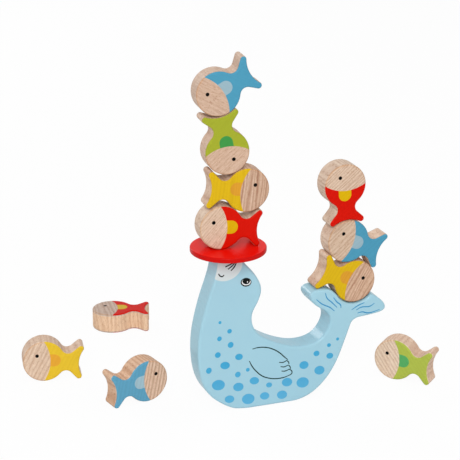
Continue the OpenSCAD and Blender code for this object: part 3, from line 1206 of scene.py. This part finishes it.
@dataclass
class NoseDisc:
    """The disc on the seal's nose, turned with a round rim and a blind bore underneath, in millimetres.

    Attributes:
        node: Its CAD node.
        body: Its body.
        rim_r: Radius of its rounded edges.
        rim_shade_tone: Colour of its rim, painted darker than its top as painted shade.
        bore_r: Radius of the bore.
        bore_depth: Depth of the bore.
        steps: Number of steps round it.
        lacquer: Its lacquer.
    """

    node: str = "nose_disc"
    body: str = "nose_disc"
    rim_r: float = 1.1
    rim_shade_tone: Tone = Tone(199, 7, 2)
    bore_r: float = 4.05
    bore_depth: float = 2.8
    steps: int = 160
    lacquer: Lacquer = DISC_RED

    def make(self) -> bpy.types.Object:
        """Turn the disc and dress it.

        Returns:
            The piece that stands for the disc's solid.
        """
        low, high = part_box(self.node)
        axis = (low + high) / 2
        reach = (high.x - low.x) / 2
        bore_top = low.z + self.bore_depth * MM
        bore = self.bore_r * MM
        profile = [
            (0, high.z), (reach, high.z), (reach, low.z),
            (bore, low.z), (bore, bore_top), (0, bore_top),
        ]
        bm = turned(profile, axis, self.steps)
        rim = [
            e for e in bm.edges
            if all((v.co - axis).xy.length > reach - SAME_RING for v in e.verts)
            and abs(e.verts[0].co.z - e.verts[1].co.z) < SAME_RING
        ]
        round_edges(bm, rim, self.rim_r)
        piece = show_piece(bm, "nose_disc_turned", self.body, self.finish(axis, reach / MM))
        even_normals(piece)
        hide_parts(self.node)
        return piece

    def finish(self, axis: Vector, reach: float) -> bpy.types.Material:
        """Return the lacquer, with its rim painted darker than its top as painted shade.

        Args:
            axis: A point on the disc's axis.
            reach: The disc's radius, in millimetres.

        Returns:
            The material.
        """
        graph, colour = self.lacquer.start()
        across, through, _ = graph.split(graph.in_axes(Matrix.Translation(axis)))
        # The rim takes a darker tone than the top: painted shade on the side, against a top painted lighter.
        rim = graph.distance(across, through).past(reach - self.rim_r / 2, self.rim_r / 2)
        return self.lacquer.close(graph, graph.mix(rim, colour, self.rim_shade_tone))


@dataclass
class Dowel:
    """The beech dowel in the seal's nose, with ends chamfered by so many millimetres."""

    node: str = "disc_peg"
    body: str = "seal"
    chamfer: float = 0.6
    steps: int = 64
    grain: Grain = Grain(
        Tone(224, 196, 172), Tone(224, 196, 172), lean=0.0, pitch=1.8, strength=0.6, broken=0.4,
        streaks=0.5)
    wood: Beech = Beech()

    def make(self) -> bpy.types.Object:
        """Turn the dowel and dress it.

        Returns:
            The piece that stands for the dowel's solid.
        """
        low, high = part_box(self.node)
        axis = (low + high) / 2
        reach = (high.x - low.x) / 2
        cut = self.chamfer * MM
        profile = [
            (0, high.z), (reach - cut, high.z), (reach, high.z - cut),
            (reach, low.z + cut), (reach - cut, low.z), (0, low.z),
        ]
        bm = turned(profile, axis, self.steps)
        piece = show_piece(bm, "nose_dowel", self.body, self.finish(axis))
        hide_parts(self.node)
        return piece

    def finish(self, axis: Vector) -> bpy.types.Material:
        """Return bare beech with its streaks along the dowel."""
        graph = Graph.of_material("dowel_finish")
        upright = Matrix.Translation(axis) @ Matrix.Rotation(math.radians(90), 4, "X")
        plank = graph.in_axes(upright)
        lines = self.wood.lines(graph, plank, self.grain)
        return graph.finish({
            "Base Color": self.wood.colour(graph, plank, lines, self.grain),
            "Roughness": self.wood.roughness,
            "Specular IOR Level": self.wood.gloss,
            "Normal": graph.bump(1 - lines, self.wood.relief),
        })


@dataclass(frozen=True)
class Lamp:
    """A square soft lamp: its name, its place and width in millimetres, and its power in watts."""

    name: str
    at: Place
    size: float
    watts: float

    def hang(self, target: Vector) -> None:
        """Hang the lamp so that it looks at a place, which is in millimetres too."""
        light = bpy.data.lights.new(self.name, "AREA")
        light.size = self.size * MM
        light.energy = self.watts
        lamp = bpy.data.objects.new(self.name, light)
        lamp.location = Vector(self.at) * MM
        lamp.rotation_mode = "QUATERNION"
        lamp.rotation_quaternion = (target - Vector(self.at)).to_track_quat("-Z", "Y")
        lamp.visible_camera = False
        bpy.context.scene.collection.objects.link(lamp)


@dataclass
class Studio:
    """A plain white studio: floor, soft lamps, pale surroundings and the camera.

    Attributes:
        camera_at: Place of the camera, in millimetres.
        camera_to: Place that the camera and the lamps look at, in millimetres.
        focal_px: Focal length in pixels of the picture.
        image_px: Width of the picture in pixels.
        sensor: Width of the camera's sensor, in millimetres.
        floor_reach: How far the floor reaches, in millimetres.
        floor_tone: Colour of the floor as the light sees it.
        floor_white: Share of plain white in the floor as it is seen.
        surround: Strength of the light from all round.
        lamps: The lamps.
    """

    camera_at: Place = (-558.8, -1386.7, 674.9)
    camera_to: Place = (-32.9, 0.0, 158.9)
    focal_px: float = 1900.0
    image_px: float = 460.0
    sensor: float = 36.0
    floor_reach: float = 6000.0
    floor_tone: Tone = Tone(240, 240, 240)
    floor_white: float = 0.95
    surround: float = 0.5
    lamps: Sequence[Lamp] = (
        Lamp("key", at=(-800.0, -1900.0, 1500.0), size=1000.0, watts=34.0),
        Lamp("top_light", at=(300.0, -300.0, 1900.0), size=800.0, watts=4.0),
        Lamp("back_light", at=(-530.0, 1890.0, 820.0), size=700.0, watts=9.0),
    )

    def make(self) -> None:
        """Set up the whole studio."""
        bpy.context.scene.view_settings.view_transform = "Standard"
        self.place_camera()
        self.lay_floor()
        self.light_surroundings()
        for lamp in self.lamps:
            lamp.hang(Vector(self.camera_to))

    def place_camera(self) -> None:
        """Put the camera where the photograph was taken from."""
        lens = bpy.data.cameras.new("camera")
        lens.sensor_width = self.sensor
        lens.lens = self.sensor * self.focal_px / self.image_px
        camera = bpy.data.objects.new("camera", lens)
        camera.location = Vector(self.camera_at) * MM
        camera.rotation_mode = "QUATERNION"
        towards = Vector(self.camera_to) - Vector(self.camera_at)
        camera.rotation_quaternion = towards.to_track_quat("-Z", "Y")
        bpy.context.scene.collection.objects.link(camera)
        bpy.context.scene.camera = camera

    def lay_floor(self) -> None:
        """Lay a pale floor that looks white and keeps a soft shadow."""
        bm = bmesh.new()
        bmesh.ops.create_grid(bm, x_segments=1, y_segments=1, size=self.floor_reach * MM)
        mesh = bpy.data.meshes.new("floor")
        bm.to_mesh(mesh)
        bm.free()
        graph = Graph.of_material("floor_white")
        pale = graph.node("ShaderNodeBsdfDiffuse", None, {"Color": self.floor_tone.linear()})
        white = graph.node("ShaderNodeEmission", None, {"Color": WHITE, "Strength": 1.0})
        mesh.materials.append(graph.close(graph.blend(graph.seen() * self.floor_white, pale, white)))
        floor = bpy.data.objects.new("floor", mesh)
        bpy.context.scene.collection.objects.link(floor)
        floor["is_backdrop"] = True

    def light_surroundings(self) -> None:
        """Fill the surroundings with even light and show them white."""
        graph = Graph(bpy.data.worlds.new("surroundings"))
        even = graph.node("ShaderNodeBackground", None, {"Color": WHITE, "Strength": self.surround})
        white = graph.node("ShaderNodeBackground", None, {"Color": WHITE, "Strength": 1.0})
        bpy.context.scene.world = graph.close(graph.blend(graph.seen(), even, white))


# Each board's ground and wall tones were matched to how it looks where it stands: they hold painted light
# and shade as well as the wood's own tone.
FISH = [
    Fish("disc_fish_red", Facing.LEFT, Catch.RED, slip=(0.4, -0.2), grain=Grain(
        Tone(225, 209, 192), Tone(227, 205, 185), lean=36.0, pitch=2.4, strength=0.38, broken=0.45)),
    Fish("disc_fish_yellow", Facing.RIGHT, Catch.YELLOW, slip=(-0.9, 0.0), grain=Grain(
        Tone(218, 196, 178), Tone(224, 197, 176), lean=-1.0, pitch=3.0, strength=0.72, broken=0.5,
        streaks=0.6)),
    Fish("disc_fish_green", Facing.RIGHT, Catch.GREEN, slip=(-0.4, -0.8), grain=Grain(
        Tone(214, 191, 173), Tone(222, 196, 176), lean=31.0, pitch=2.8, strength=0.24, broken=0.5)),
    Fish("disc_fish_blue", Facing.LEFT, Catch.BLUE, slip=(0.8, 0.2), grain=Grain(
        Tone(211, 189, 172), Tone(217, 193, 175), lean=-31.0, pitch=2.8, strength=0.22, broken=0.4)),
    Fish("tail_fish_yellow", Facing.RIGHT, Catch.YELLOW, slip=(-1.1, 0.2), grain=Grain(
        Tone(219, 193, 172), Tone(236, 212, 192), lean=-8.0, pitch=2.9, strength=0.62, broken=0.45,
        streaks=0.5)),
    Fish("tail_fish_blue", Facing.LEFT, Catch.BLUE, slip=(0.3, 0.1), grain=Grain(
        Tone(216, 198, 180), Tone(232, 208, 188), lean=29.0, pitch=3.5, strength=0.33, broken=0.3)),
    Fish("tail_fish_red", Facing.RIGHT, Catch.RED, slip=(0.8, -0.2), grain=Grain(
        Tone(224, 207, 190), Tone(226, 206, 187), lean=36.0, pitch=2.4, strength=0.46, broken=0.4)),
    Fish("loose_fish_red", Facing.LEFT, Catch.LIT_RED, grain=Grain(
        Tone(210, 198, 190), Tone(243, 211, 180), lean=-9.0, pitch=3.6, strength=0.42, broken=0.3)),
    Fish("loose_fish_yellow", Facing.LEFT, Catch.LIT_YELLOW, slip=(-0.4, 0.3), grain=Grain(
        Tone(233, 216, 198), Tone(226, 201, 180), lean=21.0, pitch=4.0, strength=0.34, broken=0.2)),
    Fish("loose_fish_blue", Facing.RIGHT, Catch.LIT_BLUE, slip=(0.8, 0.1), grain=Grain(
        Tone(234, 210, 190), Tone(228, 193, 164), lean=-18.0, pitch=3.2, strength=0.46, broken=0.1)),
    Fish("loose_fish_green", Facing.LEFT, Catch.LIT_GREEN, grain=Grain(
        Tone(240, 225, 208), Tone(234, 206, 184), lean=-42.0, pitch=3.0, strength=0.34, broken=0.2)),
]


def write_sizes() -> None:
    """Work out the box of the solids and the box of the shown pieces; nothing is written or kept."""
    boxes = {"cad": CAD_BOX, "visual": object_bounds()}
    {name: [list(corner) for corner in box] for name, box in boxes.items()}


def main() -> None:
    """Build the studio and every piece of the game, in order."""
    logging.basicConfig(level=logging.INFO, format="%(message)s")
    Studio().make()
    SealBoard().make()
    SealPrint().make()
    Dowel().make()
    NoseDisc().make()
    for fish in FISH:
        fish.make()
    write_sizes()


if __name__ == "__main__":
    main()
